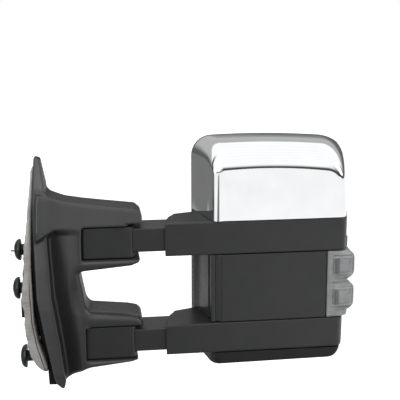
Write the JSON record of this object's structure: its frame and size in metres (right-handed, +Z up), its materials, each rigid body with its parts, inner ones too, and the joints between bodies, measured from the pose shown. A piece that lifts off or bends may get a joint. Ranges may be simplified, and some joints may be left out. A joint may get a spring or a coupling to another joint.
{
  "type": "towing mirror",
  "caption": "Left-hand tow mirror for a pickup: folding door base, telescoping twin arms and a tall head with bright cap, marker lamp, flat glass above convex glass.",
  "frame": {"origin": "on the middle mounting stud's axis, half way along its free threaded end", "axes": "+X outboard from the door, +Y to the rear of the vehicle, +Z up"},
  "size_m": [0.5504, 0.14, 0.3751],
  "materials": {
    "black_plastic": "fine grain",
    "die_cast": "black coated casting",
    "foam_grey": "closed cell foam",
    "zinc_steel": "zinc plated",
    "black_gloss": "gloss",
    "rubber_black": "matte",
    "black_coat": "powder coat",
    "nylon": "moulded",
    "spring_steel": "bright",
    "bright_chrome": "mirror",
    "clear_lens": "clear, fluted",
    "silver_reflector": "vapour coated",
    "board_green": "solder mask",
    "bulb_glass": "clear",
    "brass_worm": "turned",
    "mirror_flat": "silvered",
    "heater_foil": "film",
    "holder_black": "moulded"
  },
  "bodies": {
    "base": {"base_cover": "black_plastic", "base_frame": "die_cast", "door_pad": "foam_grey", "mounting_studs": "zinc_steel", "stud_hand_nuts": "black_gloss", "frame_screws": "zinc_steel", "upper_hinge_pin": "zinc_steel", "lower_hinge_pin": "zinc_steel", "wire_grommet": "rubber_black", "wire_cable": "rubber_black", "wire_plug": "black_gloss"},
    "arms": {"upper_knuckle": "black_plastic", "lower_knuckle": "black_plastic", "upper_inner_tube": "black_coat", "lower_inner_tube": "black_coat", "upper_end_stop": "nylon", "lower_end_stop": "nylon", "upper_tube_rivets": "zinc_steel", "lower_tube_rivets": "zinc_steel", "upper_spring_washer": "zinc_steel", "lower_spring_washer": "zinc_steel", "upper_detent_spring": "spring_steel", "lower_detent_spring": "spring_steel"},
    "head": {"upper_band_sleeve": "black_plastic", "lower_band_sleeve": "black_plastic", "chrome_cap": "bright_chrome", "front_panel": "black_plastic", "bottom_cover": "black_plastic", "inner_housing": "black_plastic", "glass_bezel": "black_plastic", "blank_cover": "black_plastic", "marker_lens": "clear_lens", "marker_reflector": "silver_reflector", "marker_board": "board_green", "marker_bulbs": "bulb_glass", "upper_slide_bushes": "nylon", "lower_slide_bushes": "nylon", "power_unit_case": "nylon", "power_unit_lid": "nylon", "power_unit_motors": "spring_steel", "lower_pivot_fork": "nylon"},
    "upper_pivot": {"upper_pivot_block": "nylon"},
    "upper_mirror": {"upper_glass": "mirror_flat", "upper_heater_pad": "heater_foil", "upper_glass_holder": "holder_black"},
    "tilt_rod": {"tilt_plunger": "nylon"},
    "turn_rod": {"turn_plunger": "nylon"},
    "tilt_ring": {"tilt_drive_ring": "nylon"},
    "turn_ring": {"turn_drive_ring": "nylon"},
    "tilt_screw": {"tilt_worm": "brass_worm"},
    "turn_screw": {"turn_worm": "brass_worm"},
    "lower_pivot": {"lower_pivot_block": "nylon"},
    "lower_mirror": {"lower_glass": "mirror_flat", "lower_glass_holder": "holder_black"}
  },
  "joints": [
    {"name": "fold", "type": "hinge", "parent": "base", "child": "arms", "pos_m": [0.1435, 0, 0.038], "axis": [0, 0, 1], "range_deg": [-60, 75]},
    {"name": "extend", "type": "slide", "parent": "arms", "child": "head", "axis": [1, 0, 0], "range_m": [-0.043, 0.055]},
    {"name": "upper_turn", "type": "hinge", "parent": "head", "child": "upper_pivot", "pos_m": [0.4145, 0.06, 0.106], "axis": [0, 0, 1], "range_deg": [-7, 7]},
    {"name": "upper_tilt", "type": "hinge", "parent": "upper_pivot", "child": "upper_mirror", "pos_m": [0.4145, 0.06, 0.106], "axis": [1, 0, 0], "range_deg": [-7, 7]},
    {"name": "tilt_rod_slide", "type": "slide", "parent": "head", "child": "tilt_rod", "axis": [0, 1, 0], "range_m": [-0.0055, 0.0055]},
    {"name": "turn_rod_slide", "type": "slide", "parent": "head", "child": "turn_rod", "axis": [0, 1, 0], "range_m": [-0.006, 0.006]},
    {"name": "tilt_ring_spin", "type": "hinge", "parent": "head", "child": "tilt_ring", "pos_m": [0.4145, 0.0462, 0.148], "axis": [0, 1, 0], "range_deg": [-310, 310]},
    {"name": "turn_ring_spin", "type": "hinge", "parent": "head", "child": "turn_ring", "pos_m": [0.4605, 0.0462, 0.106], "axis": [0, 1, 0], "range_deg": [-310, 310]},
    {"name": "tilt_worm_spin", "type": "hinge", "parent": "head", "child": "tilt_screw", "pos_m": [0.4018, 0.0462, 0.146], "axis": [0, 0, 1], "range_deg": [-2790, 2790]},
    {"name": "turn_worm_spin", "type": "hinge", "parent": "head", "child": "turn_screw", "pos_m": [0.4545, 0.0462, 0.0933], "axis": [1, 0, 0], "range_deg": [-2790, 2790]},
    {"name": "lower_turn", "type": "hinge", "parent": "head", "child": "lower_pivot", "pos_m": [0.3845, 0.06, -0.0665], "axis": [0, 0, 1], "range_deg": [-7, 7]},
    {"name": "lower_tilt", "type": "hinge", "parent": "lower_pivot", "child": "lower_mirror", "pos_m": [0.3845, 0.06, -0.0665], "axis": [1, 0, 0], "range_deg": [-7, 7]}
  ],
  "couplings": [
    {"joint": "tilt_rod_slide", "follows": "upper_tilt", "m_per_rad": -0.042},
    {"joint": "turn_rod_slide", "follows": "upper_turn", "m_per_rad": 0.046},
    {"joint": "tilt_ring_spin", "follows": "upper_tilt", "ratio": 44},
    {"joint": "turn_ring_spin", "follows": "upper_turn", "ratio": -44},
    {"joint": "tilt_worm_spin", "follows": "upper_tilt", "ratio": -396},
    {"joint": "turn_worm_spin", "follows": "upper_turn", "ratio": 396}
  ]
}
